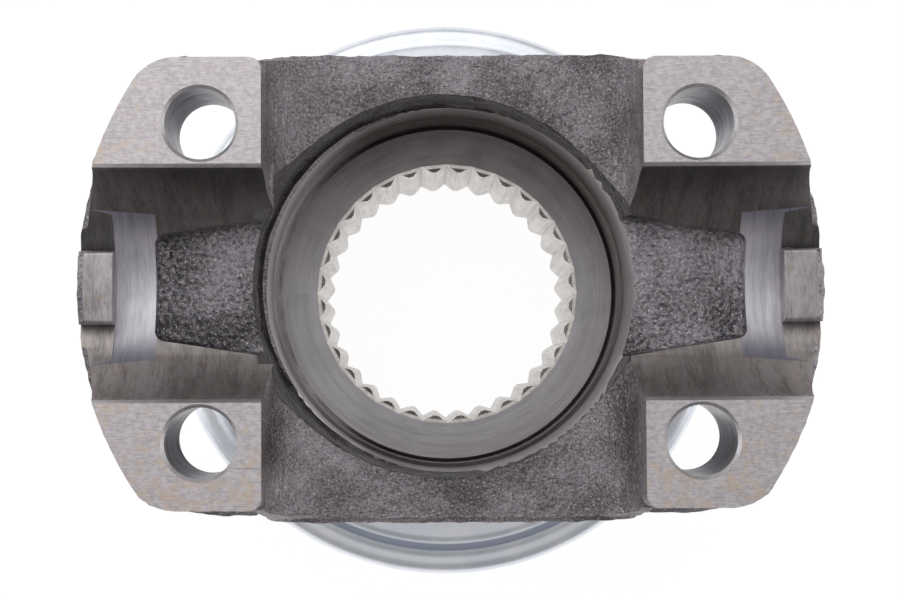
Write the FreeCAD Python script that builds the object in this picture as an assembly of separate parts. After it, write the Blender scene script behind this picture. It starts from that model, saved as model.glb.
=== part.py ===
"""Driveshaft end yoke: a steel forging with two half-round saddles and a splined hub,
and the plated steel dust slinger pressed on its hub.

Millimetres. The origin is the centre of the hub's end face, +Z runs up the spline
towards the joint, and the trunnion axis lies along X in the plane of the four pads.
"""
import FreeCAD, Part
import math
import os

V = FreeCAD.Vector

# ---- whole yoke
yoke_height = 62.0          # hub end face to the four machined pads
stop_wall = 2.9             # steel outside an end stop, at the pads
pad_half_width = 26.4       # flat flanks, at the pads
end_draft = 9.0             # degrees, round ends, pads down to the parting line
flank_draft = 4.0           # degrees, flat flanks of the wings
under_draft = 7.0           # degrees, parting line down to the underside
parting_depth = 12.0        # below the pads
forging_shift_x = 0.28      # forged outside against the turned bore
corner_radius = 1.6         # upright corners where flank meets ear

# ---- bearing cap saddles
cap_diameter = 26.99        # 1.0625 in bearing cap
saddle_edge_width = 0.42    # broken edge of a saddle, across
saddle_edge_depth = 0.8     # broken edge of a saddle, down
stop_span = 82.5            # between the inner faces of the two end stops
stop_depth = 10.8           # top of a stop below the pads
stop_width = 9.0
stop_edge = 0.5             # broken edge along the top of a stop
relief_width = 5.3          # turned relief beside each stop
relief_radius = 12.2
relief_below_saddle = 0.5   # at its deepest

# ---- gap between the ears
gap_width = 44.7
web_depth = 14.5            # floor of the gap below the pads
gap_fillet = 8.0

# ---- forged pocket in each saddle
pocket_depth = 15.3         # below the pads
pocket_end_gap = 0.7        # pocket runs this far under the relief
pocket_outer_width = 12.8
pocket_inner_width = 17.2
pocket_corner = 1.4
pocket_top = 5.0            # start of the pocket's cutting shape, inside the saddle

# ---- U-bolt holes
bolt_span_x = 58.4
bolt_span_y = 37.2
bolt_hole = 8.33
bolt_chamfer = 0.38
wing_thickness = 13.0       # pad to spot face
spot_face = 15.0
spot_depth = 0.6            # cut into the forged underside

# ---- rib under each saddle
rib_width = 25.0            # at the bottom
rib_cover = 7.6             # steel under the saddle at the outer end
rib_root_depth = 40.0       # where the rib runs out on the hub
rib_toe = 4.0               # radius at the outer lower corner
rib_knee_run = 9.0          # outer end to the knee
rib_knee = 12.0             # radius at the knee
rib_belly = 9.0             # degrees, outer end to the knee
rib_blend = 3.5             # radius between rib and wing
rib_draft = 6.0

# ---- web under the gap
web_half_width = 28.9       # at the parting line of the web
web_parting = 16.0          # below the pads
web_draft = 11.0            # degrees, above that line
web_top = 5.0               # where the swell of the web starts, below the pads
web_underside = 21.0        # below the pads
web_half_length = 24.0

# ---- forged cavity above the counterbore
cavity_radius = 24.0        # at the web
cavity_draft = 8.0
cavity_bottom = 19.8        # below the pads
cavity_top = 9.6            # below the pads
cavity_shift_x = -0.7       # die mismatch against the turned bore
cavity_shift_y = 0.25
cavity_corner = 1.2

# ---- turned counterbore and nut seat
seat_depth = 33.0           # nut seat below the pads
seat_radius = 22.3
bore_step_radius = 22.75
bore_mouth_radius = 23.2
bore_step_depth = 28.6
bore_step_bevel = 0.5
bore_top_depth = 13.5       # the turning tool clears the forging up to here
seat_groove_width = 0.45
seat_groove_depth = 0.5

# ---- internal spline, 24/48 pitch, 45 degree flanks
tooth_count = 32
tooth_tip_radius = 16.62
tooth_root_radius = 17.6
tip_flat = 0.62             # length of a tooth's flat tip
spline_length = 26.0
spline_lead = 0.45          # bevel on the ends of the teeth
tail_radius = 18.3          # plain bore behind the spline

# ---- hub outside
seal_diameter = 47.62       # 1.875 in seal journal
hub_edge = 0.9
shoulder_depth = 46.4       # slinger shoulder below the pads
hub_low_radius = 26.6       # forged hub at the shoulder
hub_high_radius = 28.6      # forged hub under the web
hub_flare = 5.0             # radius between hub and web
seat_step = 0.4             # slinger seat stands this far proud of the seal journal
seat_length = 6.1           # slinger seat, below the shoulder

# ---- dust slinger
sheet = 1.2
collar_length = 5.5
disc_radius = 34.8          # flat part of the disc
flange_radius = 36.9        # inner edge of the flange
slinger_radius = 40.0
flange_drop = 2.9           # flange below the disc
rim_drop = 1.3              # turned-down edge
step_bend = 1.5             # radii on the upper side
rim_bend = 1.9

# ---- working sizes for cutting shapes
bite = 1.0                  # overlap of shapes that are joined
over = 5.0                  # clear of the surface they start from
beyond = 80.0               # past everything
near = 1e-6                 # points closer than this are one point
turned_flats = 2            # flats along each rounded corner of a turned profile


def z_at(depth):
    """Height of a level that lies this far below the pads."""
    return yoke_height - depth


def slope(angle):
    return math.tan(math.radians(angle))


def outline(corners, place, flats=0):
    """Closed wire through (u, v, radius) corners; each corner is rounded to its radius.

    With flats given, a rounded corner is drawn as that many short flats along its arc.
    """
    edges = []
    starts = []
    ends = []
    arcs = []
    count = len(corners)
    for i in range(count):
        here = place(corners[i][0], corners[i][1])
        back = place(corners[i - 1][0], corners[i - 1][1]) - here
        ahead = place(corners[(i + 1) % count][0], corners[(i + 1) % count][1]) - here
        radius = corners[i][2]
        back.normalize()
        ahead.normalize()
        if radius > 0:
            half = back.getAngle(ahead) / 2
            reach = radius / math.tan(half)
            middle = back + ahead
            middle.normalize()
            centre = here + middle * (radius / math.sin(half))
            first = here + back * reach
            last = here + ahead * reach
            arc = Part.Arc(first, centre - middle * radius, last).toShape()
            if flats:
                arc = Part.makePolygon(arc.discretize(flats + 1))
                if arc.Vertexes[0].Point.distanceToPoint(first) > near:
                    arc.reverse()
            arcs.append(arc)
            starts.append(first)
            ends.append(last)
        else:
            arcs.append(None)
            starts.append(here)
            ends.append(here)
    for i in range(count):
        if arcs[i] is not None:
            edges.extend(arcs[i].Edges)
        following = starts[(i + 1) % count]
        if ends[i].distanceToPoint(following) > near:
            edges.append(Part.LineSegment(ends[i], following).toShape())
    return Part.Wire(edges)


def side(u, v):
    """Point of a profile drawn in the XZ plane."""
    return V(u, 0, v)


def end_on(u, v):
    """Point of a profile drawn in the YZ plane."""
    return V(0, u, v)


def plan(u, v):
    """Point of a profile drawn from above."""
    return V(u, v, 0)


def turned(corners):
    """Solid of revolution about the spline axis."""
    face = Part.Face(outline(corners, side, turned_flats))
    return face.revolve(V(0, 0, 0), V(0, 0, 1), 360)


def along_y(corners, half):
    """Profile in XZ, carried the same distance to both sides in Y."""
    shape = Part.Face(outline(corners, side)).extrude(V(0, 2 * half, 0))
    shape.translate(V(0, -half, 0))
    return shape


def along_x(corners, half):
    """Profile in YZ, carried the same distance to both sides in X."""
    shape = Part.Face(outline(corners, end_on)).extrude(V(2 * half, 0, 0))
    shape.translate(V(-half, 0, 0))
    return shape


def mirrored(shape):
    """The same shape on the other ear."""
    return shape.mirror(V(0, 0, 0), V(1, 0, 0))


cap_radius = cap_diameter / 2
slinger_seat_radius = seal_diameter / 2 + seat_step
pad_rim_radius = stop_span / 2 + stop_wall
parting_radius = pad_rim_radius + parting_depth * slope(end_draft)
parting_width = pad_half_width + parting_depth * slope(flank_draft)
rib_bottom = cap_radius + rib_cover
wing_underside = wing_thickness + spot_depth
under_run = slope(under_draft)


def envelope(bottom):
    """Outer form of the forging from the pads down: round ends, drafted both ways."""
    return turned([
        (0, z_at(bottom), 0),
        (parting_radius - (bottom - parting_depth) * under_run, z_at(bottom), 0),
        (parting_radius, z_at(parting_depth), 0),
        (pad_rim_radius, z_at(0), 0),
        (0, z_at(0), 0),
    ])


def flanks(bottom):
    """Slab between the two flat flanks, drafted both ways."""
    low = parting_width - (bottom - parting_depth) * under_run
    return along_x([
        (-low, z_at(bottom), 0),
        (low, z_at(bottom), 0),
        (parting_width, z_at(parting_depth), 0),
        (pad_half_width, z_at(0), 0),
        (-pad_half_width, z_at(0), 0),
        (-parting_width, z_at(parting_depth), 0),
    ], beyond)


def web(bottom):
    """Web under the gap down to this level, swelling past the flanks, drafted all round."""
    low_length = web_half_length - (bottom - web_top) * under_run
    along = along_y([
        (-web_half_length, z_at(web_top), 0),
        (-low_length, z_at(bottom), 0),
        (low_length, z_at(bottom), 0),
        (web_half_length, z_at(web_top), 0),
    ], beyond)
    top_width = web_half_width - (web_parting - web_top) * slope(web_draft)
    low_width = web_half_width - (bottom - web_parting) * under_run
    across = along_x([
        (-low_width, z_at(bottom), 0),
        (low_width, z_at(bottom), 0),
        (web_half_width, z_at(web_parting), 0),
        (top_width, z_at(web_top), 0),
        (-top_width, z_at(web_top), 0),
        (-web_half_width, z_at(web_parting), 0),
    ], beyond)
    return along.common(across)


def plate():
    """Wings and web before machining, with the gap between the ears formed."""
    wings = envelope(wing_underside).common(flanks(wing_underside)).cut(gap())
    upright = []
    for edge in wings.Edges:
        box = edge.BoundBox
        if box.ZLength > corner_radius and abs(box.Center.y) > pad_half_width - corner_radius:
            upright.append(edge)
    wings = wings.makeFillet(corner_radius, upright)
    return wings.fuse(web(web_underside).cut(gap()))


def gap():
    """Space between the ears: upright walls, large radii, flat floor."""
    half = gap_width / 2
    return along_y([
        (-half, z_at(-over), 0),
        (-half, z_at(web_depth), gap_fillet),
        (half, z_at(web_depth), gap_fillet),
        (half, z_at(-over), 0),
    ], beyond)


def ribs():
    """Rib under both saddles, running from ear to ear through the hub."""
    toe_radius = parting_radius - (rib_bottom - parting_depth) * under_run
    knee_radius = toe_radius - rib_knee_run
    knee_depth = rib_bottom + rib_knee_run * slope(rib_belly)
    root = seal_diameter / 2
    lower = along_y([
        (parting_radius, z_at(parting_depth), 0),
        (toe_radius, z_at(rib_bottom), rib_toe),
        (knee_radius, z_at(knee_depth), rib_knee),
        (root, z_at(rib_root_depth), 0),
        (-root, z_at(rib_root_depth), 0),
        (-knee_radius, z_at(knee_depth), rib_knee),
        (-toe_radius, z_at(rib_bottom), rib_toe),
        (-parting_radius, z_at(parting_depth), 0),
    ], beyond)
    half = rib_width / 2
    top_half = half + (rib_root_depth - wing_underside) * slope(rib_draft)
    across = along_x([
        (-half, z_at(rib_root_depth), 0),
        (half, z_at(rib_root_depth), 0),
        (top_half, z_at(wing_underside), rib_blend),
        (top_half + 2 * rib_blend, z_at(wing_underside), 0),
        (top_half + 2 * rib_blend, z_at(parting_depth), 0),
        (-top_half - 2 * rib_blend, z_at(parting_depth), 0),
        (-top_half - 2 * rib_blend, z_at(wing_underside), 0),
        (-top_half, z_at(wing_underside), rib_blend),
    ], beyond)
    return envelope(rib_root_depth).common(lower).common(across)


def journal():
    """Turned seal journal with a bevelled end, and the slinger's seat above it."""
    radius = seal_diameter / 2
    seat_end = z_at(shoulder_depth + seat_length)
    return turned([
        (0, 0, 0),
        (radius - hub_edge, 0, 0),
        (radius, hub_edge, 0),
        (radius, seat_end - seat_step, 0),
        (slinger_seat_radius, seat_end, 0),
        (slinger_seat_radius, z_at(shoulder_depth), 0),
        (0, z_at(shoulder_depth), 0),
    ])


def hub():
    """Forged hub from the web down to the slinger shoulder."""
    barrel = turned([
        (0, z_at(shoulder_depth), 0),
        (hub_low_radius, z_at(shoulder_depth), 0),
        (hub_high_radius, z_at(web_underside), 0),
        (0, z_at(web_underside), 0),
    ])
    top = hub_high_radius + hub_flare
    flare = turned([
        (0, z_at(web_underside + 2 * hub_flare), 0),
        (hub_high_radius - bite, z_at(web_underside + 2 * hub_flare), 0),
        (hub_high_radius, z_at(web_underside), hub_flare),
        (top + hub_flare, z_at(web_underside), 0),
        (top + hub_flare, z_at(web_underside - bite), 0),
        (0, z_at(web_underside - bite), 0),
    ])
    return barrel.fuse(flare.common(web(shoulder_depth)))


def saddles():
    """Half-round cut for the bearing caps, less the end stops, with broken edges."""
    groove = Part.makeCylinder(cap_radius, 2 * beyond, V(-beyond, 0, z_at(0)), V(1, 0, 0))
    half = cap_radius + saddle_edge_width
    inner = math.sqrt(cap_radius ** 2 - saddle_edge_depth ** 2)
    edge_break = along_x([
        (-inner, z_at(saddle_edge_depth), 0),
        (inner, z_at(saddle_edge_depth), 0),
        (half, z_at(0), 0),
        (half, z_at(-over), 0),
        (-half, z_at(-over), 0),
        (-half, z_at(0), 0),
    ], beyond)
    stop = along_x([
        (-stop_width / 2, z_at(cap_radius + over), 0),
        (stop_width / 2, z_at(cap_radius + over), 0),
        (stop_width / 2, z_at(stop_depth), stop_edge),
        (-stop_width / 2, z_at(stop_depth), stop_edge),
    ], beyond)
    inboard = Part.makeBox(stop_span, 2 * beyond, 2 * beyond, V(-stop_span / 2, -beyond, -beyond))
    return groove.fuse(edge_break).cut(stop.cut(inboard))


def relief():
    """Turned relief beside one stop, a little deeper than the saddle."""
    centre = cap_radius + relief_below_saddle - relief_radius
    start = stop_span / 2 - relief_width
    return Part.makeCylinder(relief_radius, relief_width, V(start, 0, z_at(centre)), V(1, 0, 0))


def pocket():
    """As-forged pocket in the bottom of one saddle, open to the gap."""
    outer = stop_span / 2 - relief_width + pocket_end_gap
    inner = gap_width / 2
    root = pocket_outer_width / 2
    spread = (pocket_inner_width / 2 - root) / (outer - inner)
    end = inner - gap_fillet
    mouth = root + spread * (outer - end)
    face = Part.Face(outline([
        (outer, -root, pocket_corner),
        (outer, root, pocket_corner),
        (end, mouth, 0),
        (end, -mouth, 0),
    ], plan))
    shape = face.extrude(V(0, 0, pocket_depth - pocket_top))
    floor = []
    for edge in shape.Edges:
        box = edge.BoundBox
        if box.ZMax < pocket_corner / 2 and box.XMax > end + pocket_corner:
            floor.append(edge)
    shape = shape.makeFillet(pocket_corner, floor)
    shape.translate(V(0, 0, z_at(pocket_depth)))
    return shape


def cavity():
    """Drafted forged cavity between the web and the turned counterbore."""
    run = slope(cavity_draft)
    low = cavity_radius - (cavity_bottom - web_depth) * run
    high = cavity_radius + (web_depth - cavity_top) * run
    shape = turned([
        (0, z_at(cavity_bottom), 0),
        (low, z_at(cavity_bottom), cavity_corner),
        (high, z_at(cavity_top), 0),
        (0, z_at(cavity_top), 0),
    ])
    shape.translate(V(cavity_shift_x, cavity_shift_y, 0))
    return shape


def bore():
    """Turned counterbore with a step, a groove round the nut seat, and the tail bore."""
    groove_floor = seat_depth + seat_groove_depth
    upper = turned([
        (0, z_at(seat_depth), 0),
        (seat_radius, z_at(seat_depth), 0),
        (seat_radius + seat_groove_width, z_at(groove_floor), 0),
        (bore_step_radius, z_at(bore_step_depth), 0),
        (bore_mouth_radius, z_at(bore_step_depth - bore_step_bevel), 0),
        (bore_mouth_radius, z_at(bore_top_depth), 0),
        (0, z_at(bore_top_depth), 0),
    ])
    spline_end = z_at(seat_depth + spline_length)
    lower = turned([
        (0, -over, 0),
        (tail_radius, -over, 0),
        (tail_radius, spline_end, 0),
        (0, spline_end, 0),
    ])
    return upper.fuse(lower)


def tooth_ring(radius, height):
    """Closed wire round the bore with one straight side across every tooth."""
    pitch = 2 * math.pi / tooth_count
    corner = radius / math.cos(pitch / 2)
    points = []
    for i in range(tooth_count):
        angle = math.pi / 2 + i * pitch
        points.append(V(corner * math.cos(angle), corner * math.sin(angle), height))
    points.append(points[0])
    return Part.makePolygon(points)


def spline():
    """Cut for the internal spline: pointed roots, narrow flat tips, bevelled ends."""
    pitch = 2 * math.pi / tooth_count
    flat = tip_flat / tooth_tip_radius / 2
    points = []
    for i in range(tooth_count):
        root = math.pi / 2 + i * pitch
        for radius, angle in (
            (tooth_root_radius, root),
            (tooth_tip_radius, root + pitch / 2 - flat),
            (tooth_tip_radius, root + pitch / 2 + flat),
        ):
            points.append(V(radius * math.cos(angle), radius * math.sin(angle), 0))
    points.append(points[0])
    face = z_at(seat_depth)
    end = z_at(seat_depth + spline_length)
    teeth = Part.Face(Part.makePolygon(points)).extrude(V(0, 0, spline_length + 2 * bite))
    teeth.translate(V(0, 0, end - bite))
    tips = tooth_tip_radius - bite
    wide = tooth_tip_radius + spline_lead + bite
    lead = Part.makeLoft([
        tooth_ring(tips, face - spline_lead - bite),
        tooth_ring(wide, face + bite),
    ], True, True)
    tail = Part.makeLoft([
        tooth_ring(wide, end - bite),
        tooth_ring(tips, end + spline_lead + bite),
    ], True, True)
    return teeth.fuse(lead).fuse(tail)


def bolt_cuts():
    """Four U-bolt holes with bevelled mouths, and the spot faces behind them."""
    radius = bolt_hole / 2
    cuts = []
    for sx in (-1, 1):
        for sy in (-1, 1):
            at = V(sx * bolt_span_x / 2, sy * bolt_span_y / 2, 0)
            low = V(at.x, at.y, z_at(wing_underside + over))
            cuts.append(Part.makeCylinder(radius, wing_underside + 2 * over, low))
            top = V(at.x, at.y, z_at(bolt_chamfer))
            cuts.append(Part.makeCone(radius, radius + 2 * bolt_chamfer, 2 * bolt_chamfer, top))
            seat = V(at.x, at.y, z_at(rib_root_depth))
            cuts.append(Part.makeCylinder(spot_face / 2, rib_root_depth - wing_thickness, seat))
    return cuts[0].multiFuse(cuts[1:])


def forging():
    """Forging before machining; its outside sits a little off the turned bore."""
    shape = plate().fuse(ribs().cut(gap())).fuse(hub().cut(gap()))
    shape = shape.cut(pocket())
    shape = shape.cut(mirrored(pocket()))
    shape.translate(V(forging_shift_x, 0, 0))
    return shape.cut(cavity())


def forged_yoke():
    """The machined yoke."""
    shape = forging().fuse(journal())
    for tool in (saddles(), relief(), mirrored(relief()), bore(), spline(), bolt_cuts()):
        shape = shape.cut(tool)
    return shape.removeSplitter()


def dust_slinger():
    """Pressed ring: collar on the hub, disc, step down to the flange, turned edge."""
    seat = slinger_seat_radius
    top = z_at(shoulder_depth)
    low = top - flange_drop
    return turned([
        (seat, top - collar_length, 0),
        (seat + sheet, top - collar_length, 0),
        (seat + sheet, top - sheet, 0),
        (disc_radius - sheet / 2, top - sheet, 0),
        (flange_radius - sheet, low - sheet, 0),
        (slinger_radius - sheet, low - sheet, 0),
        (slinger_radius - sheet, low - sheet - rim_drop, 0),
        (slinger_radius, low - sheet - rim_drop, 0),
        (slinger_radius, low, rim_bend),
        (flange_radius, low, step_bend),
        (disc_radius, top, step_bend),
        (seat, top, 0),
    ])


os.makedirs("parts", exist_ok=True)
nodes = {"forged_yoke": forged_yoke(), "dust_slinger": dust_slinger()}
for name, shape in nodes.items():
    shape.exportStep(os.path.join("parts", name + ".step"))
    box = shape.optimalBoundingBox(False, False)
    print(name, "solids", len(shape.Solids), "valid", shape.isValid(), "volume", round(shape.Volume, 1),
          "x", round(box.XMin, 2), round(box.XMax, 2), "y", round(box.YMin, 2), round(box.YMax, 2),
          "z", round(box.ZMin, 2), round(box.ZMax, 2))
common = nodes["forged_yoke"].common(nodes["dust_slinger"])
print("shared volume of yoke and slinger", round(common.Volume, 4))
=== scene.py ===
# %% [markdown]
# # A forged driveshaft end yoke
# This notebook dresses a CAD model of a driveshaft end yoke. The real part starts as a hot steel
# forging. Its pads, bearing saddles and bore are machined, a spline is broached through the hub, and
# a zinc-plated dust slinger is pressed on below. Each surface shows how it was made, so the lesson is
# about telling those processes apart: scale, milling, boring, turning, broaching and plating.

# %% Load the CAD model as a fixed frame
import math

import bmesh
import bpy
from mathutils import Matrix, Vector


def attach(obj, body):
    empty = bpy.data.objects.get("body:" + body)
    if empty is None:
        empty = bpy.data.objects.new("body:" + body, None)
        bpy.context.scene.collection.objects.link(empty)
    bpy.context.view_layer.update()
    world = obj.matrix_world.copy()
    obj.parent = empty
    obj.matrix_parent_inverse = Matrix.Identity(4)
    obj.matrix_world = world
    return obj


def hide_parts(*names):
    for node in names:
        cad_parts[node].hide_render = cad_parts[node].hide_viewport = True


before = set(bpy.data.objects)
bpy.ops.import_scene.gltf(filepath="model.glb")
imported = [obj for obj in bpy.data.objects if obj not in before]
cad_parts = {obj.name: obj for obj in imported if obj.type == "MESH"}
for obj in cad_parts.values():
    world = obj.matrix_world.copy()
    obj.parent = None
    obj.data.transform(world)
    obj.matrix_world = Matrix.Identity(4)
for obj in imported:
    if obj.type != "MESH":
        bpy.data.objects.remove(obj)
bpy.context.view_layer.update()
MM = 0.001
print("CAD nodes:", sorted(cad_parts))

# %% [markdown]
# The maker's sizes come first, in millimetres, because the surfaces are told apart by where they
# are. The origin is the centre of the hub's end, +Z runs up the bore and X runs from ear to ear.

# %% Sizes of the machined surfaces
PAD_HEIGHT = 62.0
EAR_START = 20.0
CAP_RADIUS = 13.495
EDGE_BREAK = {"depth": 0.85, "width": 0.5}
RELIEF = {"radius": 12.2, "height": 60.205, "start": 35.95, "end": 41.25}
RELIEF_WALLS = {"start": 35.0, "end": 41.5, "height": 0.7}
STOP = {"height": 51.2, "half_width": 4.5, "outer": 44.6, "foot": 4.0, "top": 0.6}
BOLT = {"x": 29.2, "y": 18.6, "radius": 4.165, "bevel": 0.4, "spot": 7.5, "seat": 49.0}
SEAT = {"height": 29.0, "radius": 22.3, "groove": 1.0}
BORE = {"radius": 23.2, "top": 48.6}
TOOTH = {"root": 17.6, "low": 3.0}
HUB = {"shoulder": 15.6, "tail": 18.3, "outer": 25.0}

# %% Sizes of the forged surfaces and of the slinger
CAVITY = {"inner": 23.0, "outer": 25.6, "low": 41.8, "high": 52.6}
POCKET = {"half_width": 9.0, "start": 14.0, "end": 37.0, "low": 46.6, "high": 56.0,
          "floor": 47.6, "wall": 23.5}
EAR = {"reach": 44.15, "half_width": 26.4, "end_draft": 9, "flank_draft": 4, "under_draft": 7}
PARTING = {"ear": 50.0, "web": 46.0, "half_land": 0.75, "flash": 0.75}
FORGING_SHIFT = 0.28
SLINGER = {"seat": 24.21, "collar": 5.5, "sheet": 1.2, "disc": 34.8, "flange": 36.9, "drop": 2.9,
           "edge": 40, "rim": 1.3, "step_bend": 1.5, "rim_bend": 1.9}


# %% [markdown]
# ## The camera
# A product shot taken from straight above: the camera looks down the bore from about 26 cm and is
# tipped by two degrees, so the far walls of the counterbore show. A long lens keeps the ears in
# proportion.

# %% Camera
bpy.ops.object.select_all(action="DESELECT")
bpy.ops.object.camera_add(location=(0, 0, 0))
camera = bpy.context.object
camera.name = "camera"
camera.data.lens = 68.0
camera.data.sensor_width = 36.0
camera.matrix_world = (
    Matrix.Translation(Vector((-3.12, -9.54, 259.5)) * MM)
    @ Matrix.Rotation(math.radians(2.15), 4, "X")
    @ Matrix.Rotation(math.radians(-0.87), 4, "Y")
    @ Matrix.Rotation(math.radians(-0.27), 4, "Z")
)
bpy.context.scene.camera = camera
print("camera height in mm:", round(camera.location.z / MM, 1))


# %% [markdown]
# ## Helpers for materials
# Shader graphs are long to write by hand, so small helpers do the typing: one adds a node and wires
# its sockets, one does arithmetic on sockets, one blends two colours, and the rest build on these.
# Everything reads Object coordinates, so the patterns stay fixed to the steel.

# %% Node helpers
def add(tree, kind, setup=None, **inputs):
    """Adds a shader node; inputs are values or sockets, with _ for a space in a name."""
    node = tree.nodes.new("ShaderNode" + kind)
    for key, value in (setup or {}).items():
        setattr(node, key, value)
    for key, value in inputs.items():
        socket = node.inputs[key.replace("_", " ")]
        if isinstance(value, bpy.types.NodeSocket):
            tree.links.new(value, socket)
        else:
            socket.default_value = value
    return node


def maths(tree, operation, *values):
    """One Math node; returns its result."""
    node = tree.nodes.new("ShaderNodeMath")
    node.operation = operation
    for i, value in enumerate(values):
        if isinstance(value, bpy.types.NodeSocket):
            tree.links.new(value, node.inputs[i])
        else:
            node.inputs[i].default_value = value
    return node.outputs[0]


def blend(tree, factor, first, second, way="MIX"):
    """Blends two colours; returns the result."""
    node = tree.nodes.new("ShaderNodeMix")
    node.data_type = "RGBA"
    node.blend_type = way
    for index, value in ((0, factor), (6, first), (7, second)):
        if isinstance(value, bpy.types.NodeSocket):
            tree.links.new(value, node.inputs[index])
        elif index == 0:
            node.inputs[0].default_value = value
        else:
            node.inputs[index].default_value = (*value, 1.0)
    return node.outputs[2]


def between(tree, value, low, high):
    """0 below low, 1 above high, smooth between them."""
    node = add(tree, "MapRange", {"interpolation_type": "SMOOTHSTEP"}, Value=value)
    node.inputs["From Min"].default_value = low
    node.inputs["From Max"].default_value = high
    return node.outputs[0]


def noise(tree, place, size, detail=2.0, rough=0.5, stretch=(1, 1, 1)):
    """Noise with blobs about size millimetres across, longer where stretch is over 1."""
    mapping = add(tree, "Mapping", Vector=place)
    mapping.inputs["Scale"].default_value = [1 / (size * MM * s) for s in stretch]
    node = add(tree, "TexNoise", Vector=mapping.outputs[0], Scale=1.0, Detail=detail, Roughness=rough)
    return node.outputs[0]


def axes(tree, place):
    """The three Object coordinates as sockets, in metres."""
    return add(tree, "SeparateXYZ", Vector=place).outputs


def start(name):
    """A new material: its node tree, its shader and its Object coordinates."""
    material = bpy.data.materials.new(name)
    material.use_nodes = True
    tree = material.node_tree
    shader = tree.nodes["Principled BSDF"]
    place = add(tree, "TexCoord").outputs["Object"]
    return material, tree, shader, place


def finish_material(tree, shader, colour, roughness, height, depth, metallic=1.0):
    """Wires colour, roughness and a bump of depth millimetres into the shader."""
    tree.links.new(colour, shader.inputs["Base Color"])
    tree.links.new(roughness, shader.inputs["Roughness"])
    shader.inputs["Metallic"].default_value = metallic
    bump = add(tree, "Bump", Height=height, Distance=depth * MM)
    tree.links.new(bump.outputs[0], shader.inputs["Normal"])


# %% [markdown]
# ## Forged skin
# Steel leaves the dies with a thin scale that is blasted off. What is left is a dark, slightly
# purple grey with a fine orange-peel grain that sparkles where a facet faces the light. A photo
# texture could do it, but two sizes of noise, one in the colour and both in the bump, keep the
# grain sharp at any distance.

# %% Forged skin material
def forged(name, dark, light, grain, depth, rough=0.5, sparkle=0.4):
    """Blasted scale: a grain of this size and depth in millimetres, with rust and specks of painted glint.
    """
    material, tree, shader, place = start(name)
    fine = noise(tree, place, grain, 3.0, 0.65)
    coarse = noise(tree, place, grain * 4, 2.0, 0.55)
    cloud = noise(tree, place, 9.0, 2.0, 0.5)
    tone = maths(tree, "MULTIPLY_ADD", cloud, 0.5, maths(tree, "MULTIPLY", fine, 0.6))
    colour = blend(tree, between(tree, tone, 0.38, 0.70), dark, light)
    rust = between(tree, noise(tree, place, 0.9, 4.0, 0.7), 0.58, 0.68)
    colour = blend(tree, maths(tree, "MULTIPLY", rust, 0.4), colour, (0.21, 0.135, 0.085))
    # Painted glints: bright specks in the colour, the same whichever way a facet faces.
    specks = between(tree, noise(tree, place, 0.25, 1.0, 0.5), 0.63, 0.70)
    colour = blend(tree, maths(tree, "MULTIPLY", specks, sparkle), colour, (0.78, 0.73, 0.72))
    roughness = maths(tree, "MULTIPLY_ADD", coarse, 0.25, rough - 0.12)
    height = maths(tree, "MULTIPLY_ADD", coarse, 1.6, fine)
    finish_material(tree, shader, colour, roughness, height, depth, 0.75)
    return material


forged_skin = forged("forged_skin", (0.085, 0.075, 0.083), (0.36, 0.33, 0.355), 0.32, 0.13, 0.52)
forged_pocket = forged("forged_pocket", (0.055, 0.051, 0.057), (0.36, 0.34, 0.37), 0.55, 0.34, 0.4, 0.6)
print("forged materials:", forged_skin.name, forged_pocket.name)


# %% [markdown]
# ## Machined steel
# A cutter leaves parallel lines: straight along the milled pads, round the axis in a bored or
# turned surface, and along the axis in a broached tooth. They are all one material recipe with the
# noise stretched along the direction of the cut. A round cut gets its direction from the angle
# about its axis. A finish can also be darkened along one axis: that is painted shade and painted
# dark reflection, and it stays where it is when the light moves.

# %% Machined steel material
def shaded(tree, place, colour, axis, clear, full, tint, both=False):
    """Paints shade: multiplies a colour by the tint beyond full millimetres along an axis, not before
    clear.
    """
    along = axes(tree, place)[axis]
    if both:
        along = maths(tree, "ABSOLUTE", along)
    return blend(tree, between(tree, along, clear * MM, full * MM), colour, tint, "MULTIPLY")


def machined(name, base, stretch, line=0.12, depth=0.012, rough=0.32, dark=0.55, stain=None,
             speck=0.0, speck_size=0.3, place_of=None, shade=None):
    """Cut steel: lines of this width in millimetres, stretched along the cut, with stain and specks."""
    material, tree, shader, own = start(name)
    place = place_of(tree, own) if place_of else own
    lines = noise(tree, place, line, 2.0, 0.6, stretch)
    wide = noise(tree, place, line * 6, 2.0, 0.5, stretch)
    blotch = noise(tree, place, 3.0, 3.0, 0.6)
    tone = maths(tree, "MULTIPLY_ADD", lines, 0.5, maths(tree, "MULTIPLY", wide, 0.5))
    low = tuple(dark * c for c in base)
    colour = blend(tree, between(tree, tone, 0.3, 0.62), low, base)
    colour = blend(tree, maths(tree, "MULTIPLY", between(tree, blotch, 0.45, 0.7), 0.25), colour, low)
    if stain:
        spots = between(tree, noise(tree, place, 1.6, 5.0, 0.7), 0.52, 0.72)
        colour = blend(tree, maths(tree, "MULTIPLY", spots, 0.5), colour, stain)
    if speck:
        dots = between(tree, noise(tree, place, speck_size, 2.0, 0.6), 0.62, 0.69)
        colour = blend(tree, maths(tree, "MULTIPLY", dots, speck), colour, (0.55, 0.42, 0.28))
    if shade:
        colour = shaded(tree, own, colour, **shade)
    roughness = maths(tree, "MULTIPLY_ADD", blotch, 0.2, rough - 0.1)
    height = maths(tree, "MULTIPLY_ADD", wide, 2.0, lines)
    finish_material(tree, shader, colour, roughness, height, depth)
    return material


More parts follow.
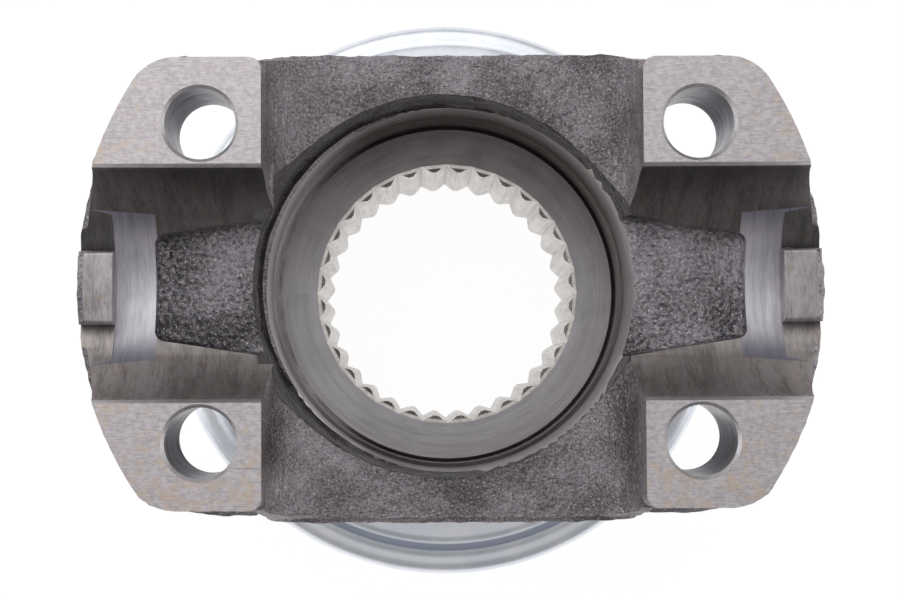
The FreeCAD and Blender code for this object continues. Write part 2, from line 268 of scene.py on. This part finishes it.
def about_bore(tree, place):
    """Coordinates unrolled about the bore: arc length at 20 mm, height, radius."""
    x, y, z = axes(tree, place)
    angle = maths(tree, "ARCTAN2", y, x)
    radius = maths(tree, "SQRT", maths(tree, "MULTIPLY_ADD", x, x, maths(tree, "MULTIPLY", y, y)))
    return add(tree, "CombineXYZ", X=maths(tree, "MULTIPLY", angle, 0.02), Y=z, Z=radius).outputs[0]


# %% Finishes of the cavity, saddles and stops
torn_ring = machined(
    "torn_ring", (0.075, 0.069, 0.070), (7, 1, 1), line=0.35, depth=0.25, rough=0.45, dark=0.3,
    speck=0.6, place_of=about_bore)
# Painted shade: the saddle is darker towards +Y, on the wall that faces forward.
bored_saddle = machined(
    "bored_saddle", (0.50, 0.46, 0.45), (1, 8, 8), line=0.2, rough=0.46, stain=(0.30, 0.22, 0.15),
    speck=0.65, speck_size=0.55,
    shade={"axis": 1, "clear": -8, "full": 2, "tint": (0.38, 0.385, 0.40)})
# Painted shade: the relief is darker towards both of its edges in Y, where its walls turn steep.
turned_relief = machined(
    "turned_relief", (0.63, 0.61, 0.66), (1, 16, 16), line=0.15, rough=0.5, dark=0.72,
    shade={"axis": 1, "clear": 5.5, "full": 9.5, "tint": (0.50, 0.50, 0.56), "both": True})
broken_edge = machined("broken_edge", (0.64, 0.61, 0.62), (1, 1, 1), line=0.25, rough=0.5, dark=0.7)
stop_face = machined(
    "stop_face", (0.47, 0.445, 0.46), (1, 4, 1), line=0.3, rough=0.42, stain=(0.35, 0.26, 0.17),
    speck=0.3)

# %% Finishes of the bore, spline, holes and journal
# Painted light and shade: a bright base that is darkened everywhere but on the -X side of the bore.
turned_bore = machined(
    "turned_bore", (0.86, 0.82, 0.83), (20, 1, 1), line=0.15, rough=0.35, place_of=about_bore,
    shade={"axis": 0, "clear": -19, "full": -9, "tint": (0.40, 0.37, 0.36)})
# Painted shade: the seat is darker towards +Y, where the bore wall stands between it and the key lamp.
nut_seat = machined(
    "nut_seat", (0.40, 0.385, 0.405), (20, 1, 1), line=0.15, rough=0.42, dark=0.8,
    place_of=about_bore, shade={"axis": 1, "clear": -6, "full": 20, "tint": (0.50, 0.48, 0.46)})
broached_spline = machined(
    "broached_spline", (0.72, 0.68, 0.65), (1, 1, 30), line=0.16, rough=0.38, dark=0.62)
drilled_hole = machined(
    "drilled_hole", (0.50, 0.48, 0.49), (12, 12, 1), line=0.3, depth=0.05, rough=0.4, dark=0.35,
    speck=0.4)
ground_journal = machined(
    "ground_journal", (0.55, 0.54, 0.55), (20, 1, 1), line=0.1, rough=0.22, place_of=about_bore)

# %% [markdown]
# The pads are faced with a mill, so they carry level lines under a fine mottle. Handling has left a
# few long scratches, and damp has stained them tan towards the round ends and the front.

# %% Milled pad material
def milled():
    """The pads' finish."""
    material, tree, shader, place = start("milled_pad")
    x, y, _ = axes(tree, place)
    lines = noise(tree, place, 0.14, 2.0, 0.6, (9, 1, 1))
    mottle = noise(tree, place, 0.6, 4.0, 0.68)
    scratches = between(tree, noise(tree, place, 0.2, 1.0, 0.5, (45, 1, 1)), 0.68, 0.74)
    tone = maths(tree, "MULTIPLY_ADD", lines, 0.45, maths(tree, "MULTIPLY", mottle, 0.55))
    colour = blend(tree, between(tree, tone, 0.36, 0.62), (0.44, 0.41, 0.43), (0.64, 0.60, 0.625))
    outward = between(tree, maths(tree, "ABSOLUTE", x), 32 * MM, 45 * MM)
    forward = between(tree, maths(tree, "MULTIPLY", y, -1.0), 8 * MM, 27 * MM)
    exposed = maths(tree, "MAXIMUM", outward, forward)
    patches = maths(tree, "MULTIPLY_ADD", exposed, 0.10, noise(tree, place, 1.5, 5.0, 0.72))
    stain = maths(tree, "MULTIPLY", between(tree, patches, 0.55, 0.70), 0.6)
    colour = blend(tree, stain, colour, (0.62, 0.49, 0.38))
    colour = blend(tree, maths(tree, "MULTIPLY", scratches, 0.5), colour, (0.20, 0.19, 0.20))
    roughness = maths(tree, "MULTIPLY_ADD", mottle, 0.2, 0.34)
    finish_material(tree, shader, colour, roughness, tone, 0.02)
    return material


milled_pad = milled()

# %% [markdown]
# ## Zinc plating
# The slinger is bright zinc with a clear blue passivate: nearly a mirror that has lost its edge,
# with cloudy patches and tiny pores. The step is darkened on its forward side: a painted dark reflection.

# %% Zinc material
STEP_LOW = 12.9
STEP_HIGH = 15.3
STEP_FADE = 0.6


def zinc():
    """Bright zinc plating with a painted dark reflection in the step."""
    material, tree, shader, place = start("zinc_plating")
    cloud = noise(tree, place, 6.0, 3.0, 0.55)
    pores = noise(tree, place, 0.35, 2.0, 0.6)
    colour = blend(tree, between(tree, cloud, 0.35, 0.65), (0.80, 0.83, 0.90), (0.90, 0.92, 0.96))
    colour = blend(tree, maths(tree, "MULTIPLY", between(tree, pores, 0.62, 0.72), 0.35), colour,
                   (0.42, 0.46, 0.55))
    # Painted dark reflection: a dark blue band in the step, on the forward (-Y) side only.
    _, y, z = axes(tree, place)
    above = between(tree, z, STEP_LOW * MM, (STEP_LOW + STEP_FADE) * MM)
    below = between(tree, z, STEP_HIGH * MM, (STEP_HIGH - STEP_FADE) * MM)
    forward = between(tree, y, -8 * MM, -26 * MM)
    in_step = maths(tree, "MULTIPLY", above, below)
    painted_reflection = maths(tree, "MULTIPLY", maths(tree, "MULTIPLY", in_step, forward), 0.85)
    colour = blend(tree, painted_reflection, colour, (0.13, 0.155, 0.21))
    roughness = maths(tree, "MULTIPLY_ADD", cloud, 0.15, 0.33)
    finish_material(tree, shader, colour, roughness, pores, 0.01)
    return material


zinc_plating = zinc()

# %% [markdown]
# ## The forging
# The CAD solid already has the drafted walls, saddles and spline. It comes as loose triangles, so a
# copy is merged first. Every triangle still lies on one CAD surface, so its place and normal tell
# which process made it, and it gets that material.

# %% Copy the CAD mesh and merge it
forging = bpy.data.objects.new("forging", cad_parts["forged_yoke"].data.copy())
bpy.context.scene.collection.objects.link(forging)
forging.data.materials.clear()
bpy.context.view_layer.objects.active = forging
forging.select_set(True)
bpy.ops.object.mode_set(mode="EDIT")
bpy.ops.mesh.select_all(action="SELECT")
bpy.ops.mesh.remove_doubles(threshold=0.001 * MM)
bpy.ops.object.mode_set(mode="OBJECT")
bpy.ops.mesh.customdata_custom_splitnormals_clear()
print("forging:", len(forging.data.vertices), "points after merging")


# %% Tell the surfaces apart
NEAR = 0.05
CAP_FACET = 0.06
BORE_FACET = 0.08
LEVEL = 0.999
ALONG = 0.9


def near(size, other, by=NEAR):
    """True where two sizes in millimetres agree."""
    return abs(size - other) < by


def surface(centre, normal):
    """The process that made a triangle, from its centre in millimetres and its normal."""
    x, y, z = centre
    out, off = abs(x), abs(y)
    around = math.hypot(x, y)
    bolt = math.hypot(out - BOLT["x"], off - BOLT["y"])
    cap = math.hypot(y, z - PAD_HEIGHT)
    relief = math.hypot(y, z - RELIEF["height"])
    level = abs(normal.z) > LEVEL
    along = abs(normal.x) > ALONG
    if level and z > PAD_HEIGHT - NEAR:
        return "pad"
    if bolt < BOLT["radius"] + BOLT["bevel"] + NEAR:
        return "edge" if z > PAD_HEIGHT - 1 and normal.z > 0.3 else "hole"
    if level and near(z, BOLT["seat"]) and bolt < BOLT["spot"]:
        return "hole"
    on_stop = off < STOP["half_width"] + 2 * NEAR and RELIEF["end"] - NEAR < out < STOP["outer"]
    stop_top = z > STOP["height"] - STOP["top"]
    stop_side = z > STOP["height"] - STOP["foot"] and along and near(out, RELIEF["end"])
    if on_stop and (stop_top or stop_side):
        return "stop"
    if RELIEF["start"] - NEAR < out < RELIEF["end"] + NEAR and near(relief, RELIEF["radius"], 2 * NEAR):
        return "relief"
    if out > EAR_START and near(cap, CAP_RADIUS, CAP_FACET):
        return "saddle"
    if out > EAR_START and z > PAD_HEIGHT - EDGE_BREAK["depth"] and off < CAP_RADIUS + EDGE_BREAK["width"]:
        return "edge"
    beside_relief = RELIEF_WALLS["start"] < out < RELIEF_WALLS["end"]
    if beside_relief and along and cap < CAP_RADIUS + RELIEF_WALLS["height"]:
        return "relief"
    if z < HUB["shoulder"] + NEAR and HUB["tail"] - 2 * NEAR < around < HUB["outer"]:
        return "journal"
    if around < TOOTH["root"] + 2 * NEAR and TOOTH["low"] - 2 * NEAR < z < SEAT["height"] + 2 * NEAR:
        return "spline"
    if around < SEAT["radius"] + 2 * NEAR and near(z, SEAT["height"]):
        return "seat"
    if around < BORE["radius"] + BORE_FACET and SEAT["height"] - SEAT["groove"] < z < BORE["top"]:
        return "bore"
    in_cavity = CAVITY["inner"] < around < CAVITY["outer"] and CAVITY["low"] < z < CAVITY["high"]
    if in_cavity and abs(normal.z) < 0.8:
        return "torn"
    in_pocket = off < POCKET["half_width"] and POCKET["start"] < out < POCKET["end"]
    if in_pocket and POCKET["low"] < z < POCKET["high"] and not near(cap, CAP_RADIUS, CAP_FACET):
        if z < POCKET["floor"] or out > POCKET["wall"]:
            return "pocket"
    return "skin"


FINISH = {
    "skin": forged_skin, "pocket": forged_pocket, "pad": milled_pad, "saddle": bored_saddle,
    "relief": turned_relief, "stop": stop_face, "hole": drilled_hole, "bore": turned_bore,
    "seat": nut_seat, "spline": broached_spline, "journal": ground_journal, "torn": torn_ring,
    "edge": broken_edge,
}
SURFACES = list(FINISH)
for kind in SURFACES:
    forging.data.materials.append(FINISH[kind])
found = dict.fromkeys(SURFACES, 0)
for face in forging.data.polygons:
    kind = surface(face.center / MM, face.normal)
    face.material_index = SURFACES.index(kind)
    found[kind] += 1
print("triangles by surface:", found)

# %% [markdown]
# The dies never fill perfectly, so forged faces swell a little and carry a grain, while machined
# faces are true. The forged triangles are split until their edges are short enough to carry that
# grain, and the low parts that face away get a coarser limit.

# %% Split the forged triangles
ROUGH = [SURFACES.index(kind) for kind in ("skin", "pocket", "torn")]
LONGEST = 0.9 * MM
SHOWN = 44.0 * MM
HIDDEN_FACTOR = 2.5


def refine(piece, longest):
    """Halves the edges of forged faces that are longer than this, or than a coarser limit low down."""
    bpy.ops.object.mode_set(mode="EDIT")
    for _ in range(8):
        mesh = bmesh.from_edit_mesh(piece.data)
        bpy.ops.mesh.select_all(action="DESELECT")
        bpy.ops.mesh.select_mode(type="EDGE")
        count = 0
        for edge in mesh.edges:
            limit = longest if edge.verts[0].co.z > SHOWN else HIDDEN_FACTOR * longest
            if edge.calc_length() > limit and any(f.material_index in ROUGH for f in edge.link_faces):
                edge.select = True
                count += 1
        bmesh.update_edit_mesh(piece.data)
        if not count:
            break
        bpy.ops.mesh.subdivide(number_cuts=1)
        bpy.ops.mesh.select_all(action="SELECT")
        bpy.ops.mesh.quads_convert_to_tris(quad_method="BEAUTY", ngon_method="BEAUTY")
    bpy.ops.object.mode_set(mode="OBJECT")


refine(forging, LONGEST)
print("forging:", len(forging.data.polygons), "triangles after splitting")

# %% [markdown]
# Die corners are never sharp, and the flash that squeezes out between the dies is trimmed to a thin
# land. The ears' upright corners are drawn in to a true radius, the round ends above and below the
# parting line are drawn in so that the land stands proud, and the flanks' land is drawn out.

# %% Round the ears and leave the flash standing
CORNER = 6.0
END_DRAW = 3.5
END_BAND = 0.5
FLANK_BAND = 0.4
LAND_END = 34.0
LAND_FADE = 5.0
WEB_END = 24.0
WEB_FLANK = 27.5
WEB_SHARE = 0.6
LOWEST_DRAWN = 36.0
INNERMOST_DRAWN = 26.0


def ear_size(z):
    """Reach and half width of an ear at this height, in millimetres."""
    drop = PAD_HEIGHT - max(z, PARTING["ear"])
    under = max(PARTING["ear"] - z, 0.0) * math.tan(math.radians(EAR["under_draft"]))
    reach = EAR["reach"] + drop * math.tan(math.radians(EAR["end_draft"])) - under
    half = EAR["half_width"] + drop * math.tan(math.radians(EAR["flank_draft"])) - under
    return reach, half


def rounded(x, y, z):
    """The place of a point once the upright corners of the ears are rounded."""
    reach, half = ear_size(z)
    level = half - CORNER
    along = math.sqrt((reach - CORNER) ** 2 - level ** 2)
    out, up = abs(x) - along, abs(y) - level
    far = math.hypot(out, up)
    if out <= 0 or up <= 0 or far <= CORNER or math.atan2(up, out) < math.atan2(level, along):
        return x, y
    return (math.copysign(along + out * CORNER / far, x), math.copysign(level + up * CORNER / far, y))


def with_flash(x, y, z):
    """The place of a forged point once the flash has been trimmed to its land."""
    reach, half = ear_size(z)
    around = math.hypot(x, y)
    on_land = abs(z - PARTING["ear"]) < PARTING["half_land"]
    if abs(x) > WEB_END and around > reach - END_BAND and not on_land:
        draw = min((PAD_HEIGHT - z) * math.tan(math.radians(END_DRAW)), PARTING["flash"])
        return x * (1 - draw / around), y * (1 - draw / around)
    if abs(x) > WEB_END and abs(y) > half - FLANK_BAND and on_land:
        fade = min(max((LAND_END - abs(x)) / LAND_FADE, 0.0), 1.0)
        return x, y + math.copysign(PARTING["flash"] * fade, y)
    if abs(x) < WEB_END and abs(y) > WEB_FLANK and abs(z - PARTING["web"]) < PARTING["half_land"]:
        fade = min((WEB_END - abs(x)) / LAND_FADE, 1.0)
        return x, y + math.copysign(WEB_SHARE * PARTING["flash"] * fade, y)
    return x, y


moved = 0
for point in forging.data.vertices:
    x, y, z = point.co / MM
    if z > LOWEST_DRAWN and math.hypot(x, y) > INNERMOST_DRAWN:
        new = rounded(*with_flash(x - FORGING_SHIFT, y, z), z)
        if (x - FORGING_SHIFT, y) != new:
            point.co.x, point.co.y = (new[0] + FORGING_SHIFT) * MM, new[1] * MM
            moved += 1
print("points drawn in or out:", moved)

# %% [markdown]
# Two Displace modifiers make the swell and the grain. They move only the points that have forged
# steel on every side, so machined faces stay true and their edges stay closed.

# %% Swell and grain
inside = set(range(len(forging.data.vertices)))
for face in forging.data.polygons:
    if face.material_index not in ROUGH:
        inside.difference_update(face.vertices)
group = forging.vertex_groups.new(name="forged")
group.add(list(inside), 1.0, "REPLACE")


def displace(piece, name, size, height):
    """Moves the forged points in and out by a cloud pattern; sizes in millimetres."""
    pattern = bpy.data.textures.new(name, "CLOUDS")
    pattern.noise_scale = size * MM
    pattern.noise_depth = 1
    change = piece.modifiers.new(name, "DISPLACE")
    change.texture = pattern
    change.texture_coords = "LOCAL"
    change.strength = height * MM
    change.mid_level = 0.5
    change.vertex_group = "forged"
    bpy.ops.object.modifier_apply(modifier=name)


displace(forging, "swell", 4.0, 0.35)
displace(forging, "grain", 1.0, 0.34)

# %% [markdown]
# Smooth shading up to a small angle lets round walls look round and keeps the cutter's edges sharp.

# %% Shade, then let it stand for the CAD forging
bpy.ops.object.shade_smooth_by_angle(angle=math.radians(25))

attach(forging, "root")
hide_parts("forged_yoke")

# %% [markdown]
# ## The dust slinger
# A press makes the slinger from one disc of sheet steel: the collar is drawn up, the flange steps
# down and the edge is turned. A drawn ring grows the same way here: one circle is pulled from ring
# to ring, its bends are rounded, and the sheet gets its thickness last, so it is even everywhere.

# %% Pull the slinger's rings
bpy.ops.object.select_all(action="DESELECT")
top = HUB["shoulder"]
flange_height = top - SLINGER["drop"]
foot = top - SLINGER["collar"]
bpy.ops.mesh.primitive_circle_add(vertices=180, radius=SLINGER["seat"] * MM, location=(0, 0, foot * MM))
slinger = bpy.context.object
slinger.name = "slinger"
bpy.ops.object.transform_apply(location=True, rotation=True, scale=True)
bpy.ops.object.mode_set(mode="EDIT")
bpy.ops.mesh.select_mode(type="EDGE")
bpy.ops.mesh.select_all(action="SELECT")
rings = [
    (SLINGER["seat"], top),
    (SLINGER["disc"], top),
    (SLINGER["flange"], flange_height),
    (SLINGER["edge"], flange_height),
    (SLINGER["edge"], flange_height - SLINGER["sheet"] - SLINGER["rim"]),
]
last = (SLINGER["seat"], foot)
for radius, height in rings:
    bpy.ops.mesh.extrude_region_move(TRANSFORM_OT_translate={"value": (0, 0, (height - last[1]) * MM)})
    grow = radius / last[0]
    bpy.ops.transform.resize(value=(grow, grow, 1), center_override=(0, 0, 0))
    last = (radius, height)
print("slinger rings:", len(rings) + 1)


# %% [markdown]
# Sheet can't fold to a sharp line, so the three bends get the radius of the tool that made them.

# %% Round its bends
def bend(radius, height, offset):
    """Rounds the ring at this radius and height."""
    mesh = bmesh.from_edit_mesh(slinger.data)
    bpy.ops.mesh.select_all(action="DESELECT")
    for edge in mesh.edges:
        if all(abs(math.hypot(v.co.x, v.co.y) / MM - radius) < 0.01 and abs(v.co.z / MM - height) < 0.01
               for v in edge.verts):
            edge.select_set(True)
    bmesh.update_edit_mesh(slinger.data)
    bpy.ops.mesh.bevel(offset=offset * MM, offset_type="OFFSET", segments=5, affect="EDGES")


step_turn = math.atan2(SLINGER["drop"], SLINGER["flange"] - SLINGER["disc"])
step_offset = SLINGER["step_bend"] * math.tan(step_turn / 2)
bend(SLINGER["disc"], top, step_offset)
bend(SLINGER["flange"], flange_height, step_offset)
bend(SLINGER["edge"], flange_height, SLINGER["rim_bend"])
bpy.ops.mesh.select_all(action="SELECT")
bpy.ops.mesh.normals_make_consistent(inside=False)
mesh = bmesh.from_edit_mesh(slinger.data)
mesh.faces.ensure_lookup_table()
disc_face = max(mesh.faces, key=lambda face: face.calc_center_median().z)
if disc_face.normal.z < 0:
    bpy.ops.mesh.flip_normals()
bpy.ops.object.mode_set(mode="OBJECT")

# %% [markdown]
# The drawn surface is the outer one, so the thickness goes inwards from it.

# %% Give the sheet its thickness
sheet = slinger.modifiers.new("sheet", "SOLIDIFY")
sheet.thickness = SLINGER["sheet"] * MM
sheet.offset = -1.0
sheet.use_even_offset = True
bpy.ops.object.modifier_apply(modifier="sheet")
bpy.ops.object.shade_smooth_by_angle(angle=math.radians(30))
slinger.data.materials.append(zinc_plating)
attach(slinger, "root")
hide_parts("dust_slinger")
print("slinger:", len(slinger.data.polygons), "faces")

# %% [markdown]
# ## Stage and light
# A white table and white surroundings, as in a catalogue. One large soft lamp stands behind the part
# and a little to the left, so surfaces that face back are light and those that face forward are dark.
# A weaker one overhead evens out the pads, and one on each side reaches the walls of the gap.

# %% Floor
FLOOR_GLOW = 1.05
FLOOR_SHARE = 0.92
bpy.ops.object.select_all(action="DESELECT")
bpy.ops.mesh.primitive_plane_add(size=4.0, location=(0, 0, 0))
floor = bpy.context.object
floor.name = "floor"
floor_material = bpy.data.materials.new("white_table")
floor_material.use_nodes = True
tree = floor_material.node_tree
tree.nodes.clear()
path = add(tree, "LightPath").outputs
seen = maths(tree, "MAXIMUM", path["Is Camera Ray"],
             maths(tree, "MAXIMUM", path["Is Glossy Ray"], path["Is Transmission Ray"]))
glow = add(tree, "Emission", Color=(1, 1, 1, 1), Strength=FLOOR_GLOW)
matt = add(tree, "BsdfDiffuse", Color=(0.8, 0.8, 0.8, 1))
mixed = add(tree, "MixShader", Fac=maths(tree, "MULTIPLY", seen, FLOOR_SHARE))
tree.links.new(matt.outputs[0], mixed.inputs[1])
tree.links.new(glow.outputs[0], mixed.inputs[2])
add(tree, "OutputMaterial", Surface=mixed.outputs[0])
floor.data.materials.append(floor_material)

# %% [markdown]
# The camera sees white all round, but the steel sees a dimmer room, and the lamps do the rest.

# %% World and lamps
ROOM = 0.3
LAMPS = {
    "key": ((-0.15, 0.48, 0.62), 0.90, 2.9),
    "top": ((0.0, -0.10, 0.80), 0.60, 0.42),
    "left": ((-0.70, 0.05, 0.30), 0.60, 2.0),
    "right": ((0.70, 0.05, 0.30), 0.60, 2.0),
}
world = bpy.data.worlds.new("studio")
bpy.context.scene.world = world
world.use_nodes = True
tree = world.node_tree
tree.nodes.clear()
path = add(tree, "LightPath").outputs
strength = maths(tree, "MAXIMUM", path["Is Camera Ray"], ROOM)
sky = add(tree, "Background", Color=(1, 1, 1, 1), Strength=strength)
add(tree, "OutputWorld", Surface=sky.outputs[0])


def lamp(name, place, size, power):
    """A square soft lamp that faces the part."""
    bpy.ops.object.light_add(type="AREA", location=Vector(place))
    light = bpy.context.object
    light.name = name
    light.data.size = size
    light.data.energy = power
    light.visible_camera = False
    target = Vector((0, 0, 45 * MM))
    light.rotation_euler = (target - light.location).to_track_quat("-Z", "Y").to_euler()
    return light


for name, (place, size, power) in LAMPS.items():
    lamp(name, place, size, power)
scene = bpy.context.scene
scene.view_settings.view_transform = "Standard"
